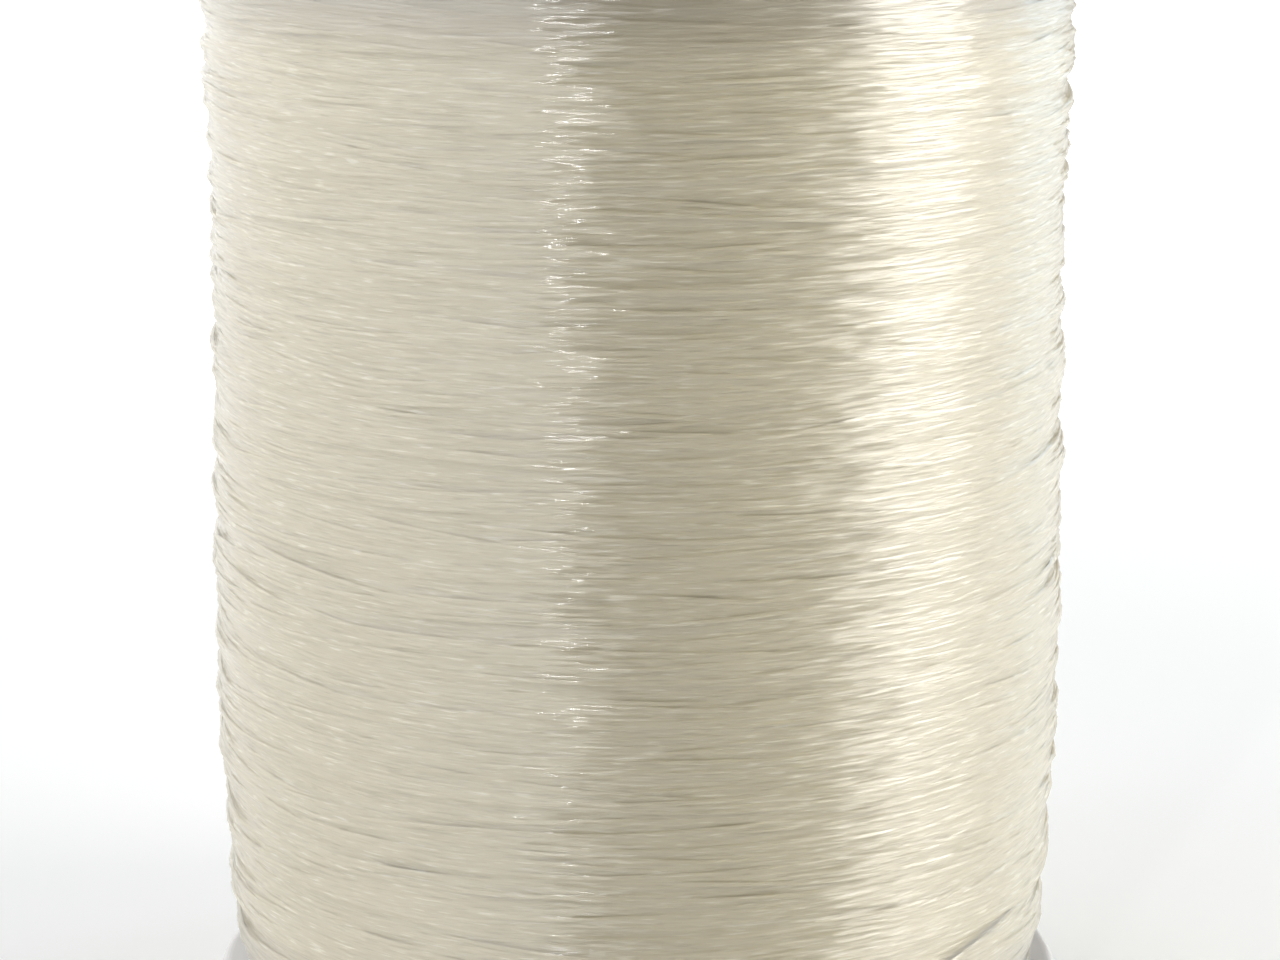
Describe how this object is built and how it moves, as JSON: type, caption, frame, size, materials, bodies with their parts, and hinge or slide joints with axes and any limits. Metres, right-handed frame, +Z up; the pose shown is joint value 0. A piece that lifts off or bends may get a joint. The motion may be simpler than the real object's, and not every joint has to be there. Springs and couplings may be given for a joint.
{
  "type": "fishing line spool",
  "caption": "Tall cylindrical spool of clear monofilament line: core tube, press-in end flanges with a spindle bore and a notched rim, wound almost flush with the rims.",
  "frame": {"origin": "centre of the bottom rim, on the surface that the spool stands on", "axes": "+Z up along the spool's axis; -Y is the side that the picture shows"},
  "size_m": [0.0606, 0.0606, 0.0812],
  "materials": {
    "spool_plastic": "frosted, translucent",
    "line": "clear, faintly cream",
    "tape": "satin film",
    "label": "blank matt film"
  },
  "bodies": {
    "root": {"bottom_flange": "spool_plastic", "top_flange": "spool_plastic", "core_tube": "spool_plastic", "start_tape": "tape", "line_pack": "line", "line_outer_turns": "line", "bottom_label": "label", "top_label": "label"}
  },
  "joints": []
}
